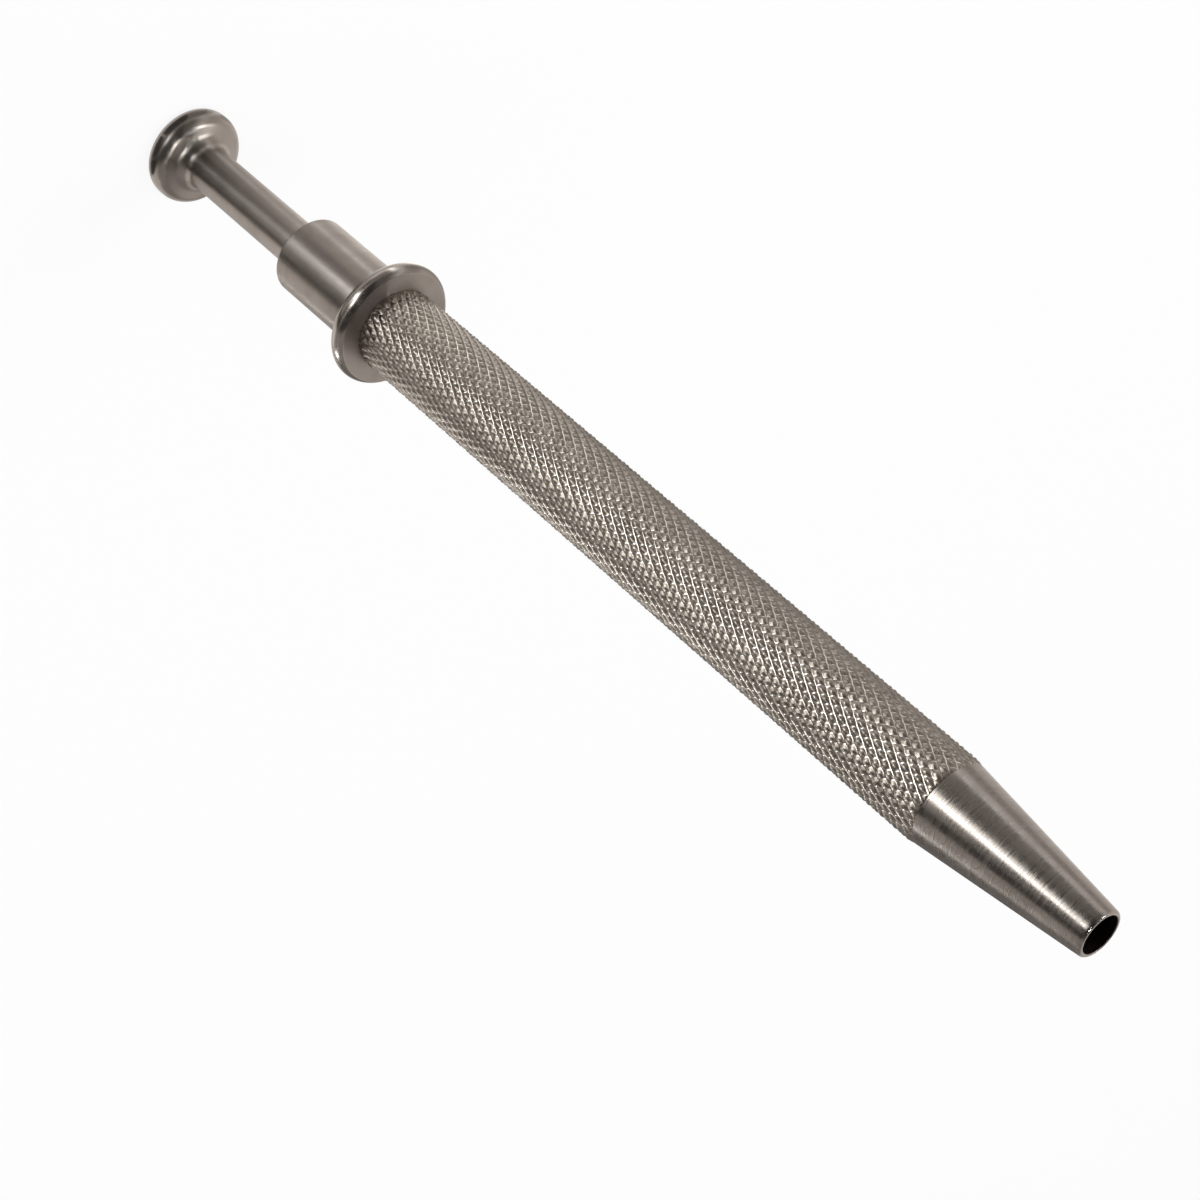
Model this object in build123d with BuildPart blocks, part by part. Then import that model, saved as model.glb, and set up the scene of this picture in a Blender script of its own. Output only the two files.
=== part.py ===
"""A four-prong pick-up tool, 114.3 mm long, standing on the flat of its push button, nose up.

Pressing the button drives four sprung wires out of the nose. They spread as they leave it, and
their hooked tips close round a small part as the return spring draws them back in.
The axis is +Z, from the button's outer face at z = 0 to the nose's mouth. Sizes are in millimetres.
"""
from build123d import *
from math import cos, radians, sin
import os

os.makedirs("parts", exist_ok=True)

# Lengths along the axis, from the button to the mouth
button_thickness = 2.45
stem_exposed = 16.95
collar_length = 10.85
flange_thickness = 1.65
barrel_length = 67.5
nose_length = 14.9

# Button and stem, turned in one piece
button_diameter = 8.95
button_rim_round = 0.8
button_brow_round = 1.15
stem_diameter = 4.1
stem_flare = 1.25
stem_clearance = 0.05
stud_diameter = 3.2
stud_length = 2.4

# Collar with its finger flange
collar_diameter = 7.2
collar_edge = 0.25
flange_diameter = 11.35
flange_crown = 0.375
spigot_diameter = 5.9
spigot_length = 5.0
spigot_edge = 0.3
thread_clearance = 0.02

# Barrel: its knurl's crests stand at this diameter
barrel_diameter = 7.62
barrel_front_step = 0.2
barrel_front_run = 0.8
barrel_rear_chamfer = 0.15
barrel_rear_bore = 5.4
barrel_front_bore = 4.4
socket_relief = 0.4

# Nose
nose_base_diameter = 7.3
nose_tip_diameter = 4.1
mouth_diameter = 3.34
lip_round = 0.18

# Push rod and what runs on it
rod_diameter = 2.0
rod_fit = 0.02
rod_socket_depth = 5.0
stop_nut_diameter = 5.2
stop_nut_thickness = 2.6
stop_nut_chamfer = 0.2
bush_length = 6.0
bush_bore_clearance = 0.05
bush_wall_fit = 0.02
bush_chamfer = 0.3

# Return spring
spring_wire = 0.4
spring_wall_gap = 0.25
spring_room = 24.0
spring_turns = 9
spring_end_gap = 0.03

# Prong carrier and prongs
travel = 13.0
carrier_setback = 0.5
carrier_length = 5.0
carrier_clearance = 0.07
carrier_rod_socket = 2.6
carrier_rear_chamfer = 0.3
slot_depth = 1.5
slot_side_gap = 0.06
prong_wire = 0.4
prong_floor_gap = 0.04
prong_wall_gap = 0.09
prong_waist_radius = 0.37
prong_tip_setback = 1.6
hook_bend_radius = 0.4
hook_turn = 105.0
hook_tip_radius = 0.38

# Heights that the lengths give
stem_start_z = button_thickness
collar_z = stem_start_z + stem_exposed
flange_z = collar_z + collar_length
barrel_z = flange_z + flange_thickness
nose_z = barrel_z + barrel_length
mouth_z = nose_z + nose_length
spigot_end_z = barrel_z + spigot_length
nose_spigot_z = nose_z - spigot_length
stop_nut_front_z = spigot_end_z + stop_nut_thickness
bush_z = stop_nut_front_z + spring_room
bush_front_z = bush_z + bush_length

# The carrier's front face, which stops short of the mouth at full travel
carrier_front_z = mouth_z - carrier_setback - travel
carrier_z = carrier_front_z - carrier_length
carrier_radius = mouth_diameter / 2 - carrier_clearance
slot_floor_z = carrier_front_z - slot_depth

# Each prong is bowed towards the axis, so that it passes the mouth at one radius as it spreads
prong_radius = prong_wire / 2
prong_pivot_z = slot_floor_z + prong_floor_gap + prong_radius
prong_reach = mouth_z - prong_pivot_z
prong_root_radius = mouth_diameter / 2 - prong_wall_gap - prong_radius
prong_bow = prong_root_radius - prong_waist_radius
prong_bow_rate = 4 * prong_bow / prong_reach**2
spread_per_mm = 0.97 * prong_bow_rate


def bowed_radius(height):
    """Distance from the tool's axis to a prong's centre line, this far above its pivot."""
    return prong_root_radius - prong_bow_rate * height * (prong_reach - height)


def distance_from_axis(vector):
    """Length of a vector's part across the tool's axis."""
    return Vector(vector.X, vector.Y, 0).length


def radial_plane(angle):
    """The half plane through the axis at an angle, with local x outwards and local y along +Z."""
    turn = radians(angle)
    return Plane(origin=(0, 0, 0), x_dir=(cos(turn), sin(turn), 0), z_dir=(sin(turn), -cos(turn), 0))


# Plunger: button, flared stem and threaded stud, bored for the push rod
with BuildPart() as plunger:
    with BuildSketch(Plane.XZ):
        with BuildLine():
            Polyline(
                (0, 0),
                (button_diameter / 2, 0),
                (button_diameter / 2, button_thickness),
                (stem_diameter / 2, button_thickness),
                (stem_diameter / 2, spigot_end_z),
                (stud_diameter / 2, spigot_end_z),
                (stud_diameter / 2, spigot_end_z + stud_length),
                (0, spigot_end_z + stud_length),
                close=True,
            )
        make_face()
    revolve(axis=Axis.Z)
    rims = plunger.edges().filter_by(GeomType.CIRCLE)
    outer_rim = rims.group_by(Axis.Z)[0].sort_by(SortBy.RADIUS)[-1]
    inner_rim = rims.group_by(Axis.Z)[1].sort_by(SortBy.RADIUS)[-1]
    stem_root = rims.group_by(Axis.Z)[1].sort_by(SortBy.RADIUS)[0]
    fillet(stem_root, stem_flare)
    fillet(outer_rim, button_rim_round)
    fillet(inner_rim, button_brow_round)
    with Locations((0, 0, spigot_end_z + stud_length)):
        Hole(rod_diameter / 2 + rod_fit, rod_socket_depth)
plunger.part.label = "plunger"
export_step(plunger.part, "parts/plunger.step")

# Collar: sleeve, crowned finger flange and the threaded spigot that screws into the barrel
with BuildPart() as collar:
    with BuildSketch(Plane.XZ):
        with BuildLine():
            Polyline(
                (stem_diameter / 2 + stem_clearance, collar_z),
                (collar_diameter / 2, collar_z),
                (collar_diameter / 2, flange_z),
                (flange_diameter / 2 - flange_crown, flange_z),
            )
            ThreePointArc(
                (flange_diameter / 2 - flange_crown, flange_z),
                (flange_diameter / 2, flange_z + flange_thickness / 2),
                (flange_diameter / 2 - flange_crown, barrel_z),
            )
            Polyline(
                (flange_diameter / 2 - flange_crown, barrel_z),
                (spigot_diameter / 2, barrel_z),
                (spigot_diameter / 2, spigot_end_z),
                (stem_diameter / 2 + stem_clearance, spigot_end_z),
                (stem_diameter / 2 + stem_clearance, collar_z),
            )
        make_face()
    revolve(axis=Axis.Z)
    ends = collar.edges().filter_by(GeomType.CIRCLE).group_by(Axis.Z)
    fillet(ends[0].sort_by(SortBy.RADIUS)[-1], collar_edge)
    chamfer(ends[-1].sort_by(SortBy.RADIUS)[-1], spigot_edge)
collar.part.label = "collar"
export_step(collar.part, "parts/collar.step")

# Barrel: a tube with a socket for each spigot and a step inside that seats the guide bush
socket_radius = spigot_diameter / 2 + thread_clearance
with BuildPart() as barrel:
    with BuildSketch(Plane.XZ):
        with BuildLine():
            Polyline(
                (socket_radius, barrel_z),
                (barrel_diameter / 2 - barrel_rear_chamfer, barrel_z),
                (barrel_diameter / 2, barrel_z + barrel_rear_chamfer),
                (barrel_diameter / 2, nose_z - barrel_front_run),
                (barrel_diameter / 2 - barrel_front_step, nose_z),
                (socket_radius, nose_z),
                (socket_radius, nose_spigot_z - socket_relief),
                (barrel_front_bore / 2, nose_spigot_z - socket_relief),
                (barrel_front_bore / 2, bush_front_z),
                (barrel_rear_bore / 2, bush_front_z),
                (barrel_rear_bore / 2, spigot_end_z + socket_relief),
                (socket_radius, spigot_end_z + socket_relief),
                close=True,
            )
        make_face()
    revolve(axis=Axis.Z)
barrel.part.label = "barrel"
export_step(barrel.part, "parts/barrel.step")

# Nose: a long taper over a straight bore, with a round lip at the mouth
with BuildPart() as nose:
    with BuildSketch(Plane.XZ):
        with BuildLine():
            Polyline(
                (mouth_diameter / 2, nose_spigot_z),
                (spigot_diameter / 2 - spigot_edge, nose_spigot_z),
                (spigot_diameter / 2, nose_spigot_z + spigot_edge),
                (spigot_diameter / 2, nose_z),
                (nose_base_diameter / 2, nose_z),
                (nose_tip_diameter / 2, mouth_z),
                (mouth_diameter / 2, mouth_z),
                close=True,
            )
        make_face()
    revolve(axis=Axis.Z)
    fillet(nose.edges().filter_by(GeomType.CIRCLE).group_by(Axis.Z)[-1], lip_round)
nose.part.label = "nose"
export_step(nose.part, "parts/nose.step")

# Stop nut: screwed on the stem's stud, it keeps the plunger in the collar and carries the spring
with BuildPart() as stop_nut:
    with BuildSketch(Plane.XY.offset(spigot_end_z)):
        Circle(stop_nut_diameter / 2)
        Circle(stud_diameter / 2 + thread_clearance, mode=Mode.SUBTRACT)
    extrude(amount=stop_nut_thickness)
    chamfer(stop_nut.edges().group_by(Axis.Z)[-1].sort_by(SortBy.RADIUS)[-1], stop_nut_chamfer)
stop_nut.part.label = "stop_nut"
export_step(stop_nut.part, "parts/stop_nut.step")

# Guide bush: pressed into the barrel, it guides the push rod and stops the spring
with BuildPart() as guide_bush:
    with BuildSketch(Plane.XY.offset(bush_z)):
        Circle(barrel_rear_bore / 2 - bush_wall_fit)
        Circle(rod_diameter / 2 + bush_bore_clearance, mode=Mode.SUBTRACT)
    extrude(amount=bush_length)
    chamfer(guide_bush.edges().group_by(Axis.Z)[-1].sort_by(SortBy.RADIUS)[-1], bush_chamfer)
guide_bush.part.label = "guide_bush"
export_step(guide_bush.part, "parts/guide_bush.step")

# Push rod: from its socket in the stem to its socket in the prong carrier
rod_start_z = spigot_end_z + stud_length - rod_socket_depth
rod_end_z = carrier_z + carrier_rod_socket
with BuildPart() as push_rod:
    with BuildSketch(Plane.XY.offset(rod_start_z)):
        Circle(rod_diameter / 2)
    extrude(amount=rod_end_z - rod_start_z)
push_rod.part.label = "push_rod"
export_step(push_rod.part, "parts/push_rod.step")

# Return spring: a round wire coiled between the stop nut and the guide bush
coil_radius = barrel_rear_bore / 2 - spring_wall_gap - spring_wire / 2
coil_start_z = stop_nut_front_z + spring_wire / 2 + spring_end_gap
coil_height = spring_room - spring_wire - 2 * spring_end_gap
with BuildPart() as return_spring:
    with BuildLine():
        coil = Helix(coil_height / spring_turns, coil_height, coil_radius, center=(0, 0, coil_start_z))
    with BuildSketch(Plane(coil @ 0, z_dir=coil % 0)):
        Circle(spring_wire / 2)
    sweep(path=coil, is_frenet=True)
return_spring.part.label = "return_spring"
export_step(return_spring.part, "parts/return_spring.step")

# Prong carrier: two crossed slots in its front hold the four wires' round roots
with BuildPart() as prong_carrier:
    with BuildSketch(Plane.XY.offset(carrier_z)):
        Circle(carrier_radius)
    extrude(amount=carrier_length)
    chamfer(prong_carrier.edges().group_by(Axis.Z)[0], carrier_rear_chamfer)
    with BuildSketch(Plane.XY.offset(carrier_z)):
        Circle(rod_diameter / 2 + rod_fit)
    extrude(amount=carrier_rod_socket, mode=Mode.SUBTRACT)
    with BuildSketch(Plane.XY.offset(slot_floor_z)):
        Rectangle(2 * mouth_diameter, prong_wire + 2 * slot_side_gap)
        Rectangle(prong_wire + 2 * slot_side_gap, 2 * mouth_diameter)
    extrude(amount=slot_depth, mode=Mode.SUBTRACT)
prong_carrier.part.label = "prong_carrier"
export_step(prong_carrier.part, "parts/prong_carrier.step")

# Prongs: bowed spring wires, round at the root, with tips hooked towards the axis
wire_height = prong_reach - prong_tip_setback - hook_bend_radius - prong_radius
for number in range(4):
    side = radial_plane(90 * number)
    with BuildPart() as prong:
        with BuildLine(side) as centre_line:
            bow = ThreePointArc(
                (bowed_radius(0), prong_pivot_z),
                (bowed_radius(wire_height / 2), prong_pivot_z + wire_height / 2),
                (bowed_radius(wire_height), prong_pivot_z + wire_height),
            )
            hook = JernArc(bow @ 1, bow % 1, hook_bend_radius, hook_turn)
            hook_straight = (distance_from_axis(hook @ 1) - hook_tip_radius) / distance_from_axis(hook % 1)
            Line(hook @ 1, (hook @ 1) + (hook % 1) * hook_straight)
        path = centre_line.wires()[0]
        with BuildSketch(Plane(path @ 0, z_dir=path % 0)):
            Circle(prong_radius)
        sweep(path=path)
        with Locations(path @ 0, path @ 1):
            Sphere(prong_radius)
    prong.part.label = f"prong_{number + 1}"
    export_step(prong.part, f"parts/{prong.part.label}.step")
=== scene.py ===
"""Four-prong pick-up tool in satin nickel: a push button and stem, a flanged collar, a diamond
knurled barrel and a long nose, with the four sprung prongs drawn in.

The tool stands on its button, with its axis along +Z. Every size is in metres.
"""
import math

import bpy
import numpy as np
from mathutils import Matrix, Vector


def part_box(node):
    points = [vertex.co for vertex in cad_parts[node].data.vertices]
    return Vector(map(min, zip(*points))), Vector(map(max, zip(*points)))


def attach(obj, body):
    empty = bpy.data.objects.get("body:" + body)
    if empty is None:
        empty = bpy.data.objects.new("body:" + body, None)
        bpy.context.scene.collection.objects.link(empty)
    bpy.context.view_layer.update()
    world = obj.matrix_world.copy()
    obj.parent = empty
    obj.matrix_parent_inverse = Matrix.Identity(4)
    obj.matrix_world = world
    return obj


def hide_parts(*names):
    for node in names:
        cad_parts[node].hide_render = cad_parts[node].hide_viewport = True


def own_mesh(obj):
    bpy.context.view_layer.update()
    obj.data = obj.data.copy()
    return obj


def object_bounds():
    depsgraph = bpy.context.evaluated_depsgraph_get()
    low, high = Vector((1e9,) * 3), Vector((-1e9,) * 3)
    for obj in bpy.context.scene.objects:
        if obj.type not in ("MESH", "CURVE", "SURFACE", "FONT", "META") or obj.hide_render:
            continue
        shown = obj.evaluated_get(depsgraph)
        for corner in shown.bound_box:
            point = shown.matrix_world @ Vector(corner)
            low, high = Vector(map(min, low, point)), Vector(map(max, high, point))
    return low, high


bl_info = {
    "name": "Four-prong pick-up tool",
    "version": (1, 0, 0),
    "blender": (4, 5, 0),
    "location": "View3D > Sidebar > Pick-up tool",
    "description": "Surfaces, finishes and studio of a push-button pick-up tool with four sprung prongs",
    "category": "Add Mesh",
}

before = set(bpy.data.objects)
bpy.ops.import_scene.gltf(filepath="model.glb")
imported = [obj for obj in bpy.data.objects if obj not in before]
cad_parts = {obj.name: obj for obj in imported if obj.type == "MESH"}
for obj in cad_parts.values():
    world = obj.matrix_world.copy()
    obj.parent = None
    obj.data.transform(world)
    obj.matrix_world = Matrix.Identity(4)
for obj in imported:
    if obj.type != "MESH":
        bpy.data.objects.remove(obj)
CAD_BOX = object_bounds()
MM = 0.001
MOUTH = CAD_BOX[1].z
BARREL_LOW, BARREL_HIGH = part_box("barrel")
COLLAR_LOW, COLLAR_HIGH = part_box("collar")
NOSE_LOW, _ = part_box("nose")
_, PLUNGER_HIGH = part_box("plunger")
MIDDLE = np.array((0.0, 0.0, MOUTH / 2))
UP = np.array((0.0, 0.0, 1.0))
UV_NAME = "Turned"
# Points round a turned piece, and lines of points that draw one groove of the knurl
AROUND = 144
GROOVE_LINES = 5
# An edge sharper than this many degrees stays sharp, on the turned pieces, the wires and the knurl
TURNED_EDGE, WIRE_EDGE, KNURL_EDGE = 32.0, 60.0, 76.0

# The camera, fitted to the photograph. The columns are its right, up and back, and its place
LENS, SENSOR = 85.63, 36.0
CAMERA_PLACE = (
    (-0.66456, -0.74724, 0.0, 0.00562),
    (0.40955, -0.36424, -0.83642, -0.18552),
    (0.62500, -0.55585, 0.54809, 0.18709),
    (0.0, 0.0, 0.0, 1.0),
)
# Lengths along the surround's outline that are mirrored by the button, stem, collar, flange, the barrel's
# rear and front halves and the nose, then its horizon and what is above it
MIRRORED_AT = (0.006, 0.016, 0.035, 0.05, 0.08, 0.15, 0.3, 0.4, 0.47)
# Its panels: azimuth, width and softness in degrees, tint, and brightness at each length of MIRRORED_AT
PANELS = (
    (-166, 30, 5, "grey", (0.8, 0.75, 0.7, 0.5, 0.3, 0.3, 0.05, 0.2, 0.8)),
    (-130, 44, 6, "grey", (0.8, 0.85, 0.9, 0.6, 0.28, 0.28, 0.2, 0.4, 0.4)),
    (-85, 40, 6, "grey", (1.0, 1.0, 1.5, 0.8, 0.42, 0.42, 0.72, 0.5, 0.45)),
    (-103, 5, 3, "key", (1.0, 1.0, 1.3, 0.9, 13.0, 16.0, 0.6, 0.6, 0.45)),
    (-53, 24, 4, "grey", (0.06, 0.1, 0.12, 0.06, 0.25, 0.25, 0.06, 0.08, 0.06)),
    (-27, 28, 4, "grey", (0.06, 0.4, 0.7, 0.1, 0.35, 0.4, 1.1, 0.1, 0.06)),
    (17, 36, 5, "grey", (0.06, 0.38, 0.9, 0.1, 0.3, 0.36, 0.75, 0.1, 0.06)),
    (49, 30, 6, "grey", (0.3, 0.45, 1.5, 0.8, 0.3, 0.36, 0.5, 0.3, 0.2)),
    (98, 26, 4, "grey", (0.6, 0.75, 1.25, 0.8, 0.45, 0.42, 0.5, 0.5, 0.6)),
    (68, 7, 3, "key", (0.6, 0.8, 1.2, 6.0, 3.5, 3.5, 2.0, 1.0, 0.5)),
    (135, 48, 6, "grey", (0.8, 1.2, 2.2, 0.8, 0.5, 0.5, 0.95, 0.8, 0.9)),
    (-14, 10, 3, "key", (0.06, 0.8, 0.2, 2.5, 0.8, 1.2, 18.0, 8.0, 0.06)),
    (-3, 8, 3, "key", (0.06, 0.8, 0.2, 2.5, 11.0, 15.0, 5.0, 2.0, 0.06)),
)
# Distance of the canopies and of the strips from the tool's middle
CANOPY_REACH, STRIP_REACH = 1.2, 1.15


# Sizes, finishes and studio settings


def length(label, about, default):
    """A size in metres that shows in scene units."""
    return bpy.props.FloatProperty(
        name=label, description=about, default=default, min=0.0, unit="LENGTH", precision=6
    )


def tint(label, about, default):
    """A linear colour."""
    return bpy.props.FloatVectorProperty(
        name=label, description=about, default=default, min=0.0, max=1.0, size=3, subtype="COLOR"
    )


def share(label, about, default):
    """A part of a whole, from 0 to 1."""
    return bpy.props.FloatProperty(
        name=label, description=about, default=default, min=0.0, max=1.0, subtype="FACTOR"
    )


def angle(label, about, degrees):
    """An angle, given in degrees."""
    return bpy.props.FloatProperty(
        name=label, description=about, default=math.radians(degrees), subtype="ANGLE"
    )


def strength(label, about, default):
    """How bright a light is."""
    return bpy.props.FloatProperty(name=label, description=about, default=default, min=0.0)


def whole(label, about, default, lowest, highest):
    """A whole number."""
    return bpy.props.IntProperty(
        name=label, description=about, default=default, min=lowest, max=highest
    )


class PlungerSizes(bpy.types.PropertyGroup):
    """Sizes of the push button and its stem."""

    button_radius: length("Button radius", "Radius of the button's rim", PLUNGER_HIGH.x)
    rim_round: length("Rim round", "Round of the outer rim", 0.8 * MM)
    brow_height: length("Brow height", "Height where the domed side towards the stem starts", 1.15 * MM)
    brow_round: length("Brow round", "Round of the domed side towards the stem", 1.25 * MM)
    brow_turn: angle("Brow turn", "How far the domed side turns inwards", 74.0)
    stem_radius: length("Stem radius", "Radius of the stem", 2.05 * MM)
    stem_flare: length("Stem flare", "Hollow round where the stem meets the button", 1.35 * MM)
    stud_radius: length("Stud radius", "Radius of the stud under the stop nut", 1.6 * MM)
    stud_length: length("Stud length", "Length of the stud", 2.4 * MM)
    socket_radius: length("Socket radius", "Radius of the push rod's socket", 1.02 * MM)
    socket_depth: length("Socket depth", "Depth of the push rod's socket", 5.0 * MM)


class CollarSizes(bpy.types.PropertyGroup):
    """Sizes of the collar, its finger flange and its spigot."""

    sleeve_radius: length("Sleeve radius", "Radius of the sleeve", 3.6 * MM)
    sleeve_edge: length("Sleeve edge", "Round of the sleeve's rear edge", 0.25 * MM)
    bore_radius: length("Bore radius", "Radius of the bore for the stem", 2.1 * MM)
    flange_radius: length("Flange radius", "Radius of the flange at the middle of its rim", 5.675 * MM)
    flange_crown: length("Flange crown", "How far the rim bulges past its two faces", 0.375 * MM)
    flange_thickness: length("Flange thickness", "Thickness of the flange", 1.65 * MM)
    spigot_radius: length("Spigot radius", "Radius of the spigot in the barrel", 2.95 * MM)
    spigot_edge: length("Spigot edge", "Chamfer of the spigot's end", 0.3 * MM)


class KnurlSizes(bpy.types.PropertyGroup):
    """Sizes of the barrel and its diamond knurl."""

    starts: whole("Starts", "Grooves of each hand around the barrel", 31, 8, 60)
    rows: whole("Rows", "Rows of points from end to end, an even number", 480, 40, 600)
    depth: length("Depth", "Depth of a groove under the crests", 0.2 * MM)
    second_hand: share("Second hand", "Depth of the other hand's grooves against the first", 0.78)
    bottom: share("Bottom", "Half the width of a groove's rounded bottom, in spacings", 0.13)
    crest: share("Crest", "Distance from a groove's bottom to its crest's edge, in spacings", 0.45)
    unevenness: share("Unevenness", "How far the depth wanders along the barrel", 0.16)
    front_step: length("Front step", "How far the front chamfer cuts in", 0.2 * MM)
    front_run: length("Front run", "Length of the front chamfer", 0.8 * MM)
    rear_step: length("Rear step", "Chamfer at the flange", 0.15 * MM)
    socket_radius: length("Socket radius", "Radius of the sockets for the spigots", 2.97 * MM)
    socket_depth: length("Socket depth", "Depth of both sockets", 5.4 * MM)
    rear_bore_radius: length("Rear bore radius", "Radius of the bore round the spring", 2.7 * MM)
    front_bore_radius: length("Front bore radius", "Radius of the bore round the carrier", 2.2 * MM)
    bush_seat: length("Bush seat", "Height where the bore narrows", 69.5 * MM)


class NoseSizes(bpy.types.PropertyGroup):
    """Sizes of the nose."""

    base_radius: length("Base radius", "Radius where the nose meets the barrel", 3.65 * MM)
    tip_radius: length("Tip radius", "Radius at the mouth, before the lip's round", 2.05 * MM)
    mouth_radius: length("Mouth radius", "Radius of the bore that the prongs run in", 1.67 * MM)
    lip_round: length("Lip round", "Round of the lip's outer edge", 0.27 * MM)
    lip_inner_round: length("Lip inner round", "Round of the lip's inner edge", 0.1 * MM)
    spigot_radius: length("Spigot radius", "Radius of the spigot in the barrel", 2.95 * MM)
    spigot_edge: length("Spigot edge", "Chamfer of the spigot's end", 0.3 * MM)


class ProngSizes(bpy.types.PropertyGroup):
    """Sizes of the four sprung wires."""

    wire_radius: length("Wire radius", "Radius of the wire", 0.2 * MM)
    pivot_height: length("Pivot height", "Height of the wire's root", 99.54 * MM)
    root_radius: length("Root radius", "Distance of the wire's root from the axis", 1.38 * MM)
    waist_radius: length("Waist radius", "Least distance of the bowed wire from the axis", 0.37 * MM)
    tip_setback: length("Tip setback", "How far the tips lie inside the mouth", 1.6 * MM)
    bend_radius: length("Bend radius", "Radius of the hook's bend", 0.4 * MM)
    tip_radius: length("Tip radius", "Distance of the hooked tip from the axis", 0.38 * MM)
    hook_turn: angle("Hook turn", "How far the wire turns at the hook", 105.0)


class SpringSizes(bpy.types.PropertyGroup):
    """Sizes of the return spring."""

    wire_radius: length("Wire radius", "Radius of the wire", 0.2 * MM)
    stroke: length("Stroke", "How far the button presses the spring together", 13.0 * MM)
    turns: whole("Turns", "Number of turns of the coil", 9, 1, 40)


class Finishes(bpy.types.PropertyGroup):
    """Colours of the metals."""

    nickel: tint("Nickel", "Satin nickel of the turned pieces", (0.335, 0.293, 0.263))
    nickel_dull: tint("Dull nickel", "Nickel where it is worn or stained", (0.25, 0.212, 0.186))
    knurled: tint("Knurled nickel", "Nickel of the barrel", (0.335, 0.287, 0.247))
    knurled_dull: tint("Dull knurl", "Nickel of the barrel where it is stained", (0.25, 0.208, 0.172))
    burnished: tint("Burnished nickel", "Nickel that the knurling rubbed bright", (0.46, 0.412, 0.362))
    handled: tint("Handled nickel", "Nickel on the tips, which hands keep bright", (0.55, 0.5, 0.445))
    # Grime that also paints shade: the knurl's flanks are darkened with this colour
    grime_and_shade: tint("Grime", "Grime on the flanks of the knurl's grooves", (0.14, 0.115, 0.09))
    # Painted shade: the nose's bore is coloured this dark to stand for the shade inside it
    bore: tint("Bore", "Unplated bore of the nose", (0.022, 0.018, 0.015))
    brass: tint("Brass", "Guide bush and prong carrier", (0.56, 0.40, 0.18))
    spring_steel: tint("Spring steel", "Prongs and return spring", (0.42, 0.41, 0.40))
    rod_steel: tint("Rod steel", "Push rod and stop nut", (0.36, 0.355, 0.35))


class StudioSettings(bpy.types.PropertyGroup):
    """Floor, lamps and cards."""

    floor: tint("Floor", "Colour of the floor", (0.86, 0.86, 0.86))
    floor_whiteness: share("Floor whiteness", "How much of the floor's look is plain white", 0.88)
    sky: strength("Sky", "Strength of the even light from all round", 0.6)
    key_level: strength("Key level", "Brightness of the key lamp", 6.0)
    fill_level: strength("Fill level", "Brightness of the side lamp", 6.0)
    soft_level: strength("Soft level", "Brightness of the large lamp behind", 1.0)
    key_tint: tint("Key tint", "Tint of the bright cards", (0.93, 0.98, 1.0))
    card_tint: tint("Card tint", "Tint of the dark and grey cards", (1.0, 0.97, 0.94))


# Surfaces


def arc(centre, radius, start, end, steps):
    """Points of a round in the (r, z) plane: centre + radius * (cos a, sin a), with a in degrees."""
    a = np.radians(np.linspace(start, end, steps))
    return np.column_stack((centre[0] + radius * np.cos(a), centre[1] + radius * np.sin(a)))


def run(start, end, steps=2):
    """Points of a straight stretch in the (r, z) plane, both ends included."""
    t = np.linspace(0.0, 1.0, steps)[:, None]
    return (1 - t) * np.asarray(start, float) + t * np.asarray(end, float)


def outline(*stretches):
    """Stretches end to end, with the points that two of them share kept once."""
    points = np.concatenate(stretches)
    step = np.linalg.norm(np.diff(points, axis=0), axis=1)
    return points[np.concatenate(([True], step > 1e-8))]


def lengths_along(points):
    """How far along a line of points each of them lies, from 0 at the first."""
    return np.concatenate(([0.0], np.cumsum(np.linalg.norm(np.diff(points, axis=0), axis=1))))


def spun(shape, angles):
    """The outline (r, z) turned round +Z by each angle a: (r cos a, r sin a, z), one row for each of its
    points."""
    r, z = shape[:, :1], shape[:, 1:]
    return np.stack((r * np.cos(angles), r * np.sin(angles), z + 0 * angles), 2)


def lay_mesh(name, points, faces, uv, sharp):
    """One object from whole arrays: points (n, 3), faces a list of index arrays of 3 or 4 columns, and uv a
    matching list. Edges sharper than sharp, in degrees, stay sharp."""
    mesh = bpy.data.meshes.new(name)
    corners = np.concatenate([f.ravel() for f in faces]).astype(np.int32)
    counts = np.concatenate([np.full(len(f), f.shape[1]) for f in faces])
    mesh.vertices.add(len(points))
    mesh.vertices.foreach_set("co", np.ascontiguousarray(points, np.float32).ravel())
    mesh.loops.add(len(corners))
    mesh.loops.foreach_set("vertex_index", corners)
    mesh.polygons.add(len(counts))
    mesh.polygons.foreach_set("loop_start", (np.cumsum(counts) - counts).astype(np.int32))
    spots = np.concatenate([u.reshape(-1, 2) for u in uv]).astype(np.float32)
    mesh.uv_layers.new(name=UV_NAME).uv.foreach_set("vector", spots.ravel())
    mesh.update(calc_edges=True)
    mesh.shade_smooth()
    mesh.set_sharp_from_angle(angle=math.radians(sharp))
    piece = bpy.data.objects.new(name, mesh)
    bpy.context.scene.collection.objects.link(piece)
    return piece


def ring_faces(low, high, v_low, v_high):
    """Four-sided faces between closed rings of point numbers, each row of low to the same row of high,
    with u once round and v as the way along."""
    around = low.shape[1]
    turn = np.roll(np.arange(around), -1)
    faces = np.stack((low, low[:, turn], high[:, turn], high), 2)
    u = np.broadcast_to(np.arange(around) / around, low.shape)
    w = u + 1 / around
    a, b = (np.broadcast_to(np.reshape(v, (-1, 1)), low.shape) for v in (v_low, v_high))
    uv = np.stack([np.stack(corner, 2) for corner in ((u, a), (w, a), (w, b), (u, b))], 2)
    return faces.reshape(-1, 4), uv.reshape(-1, 4, 2)


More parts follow.
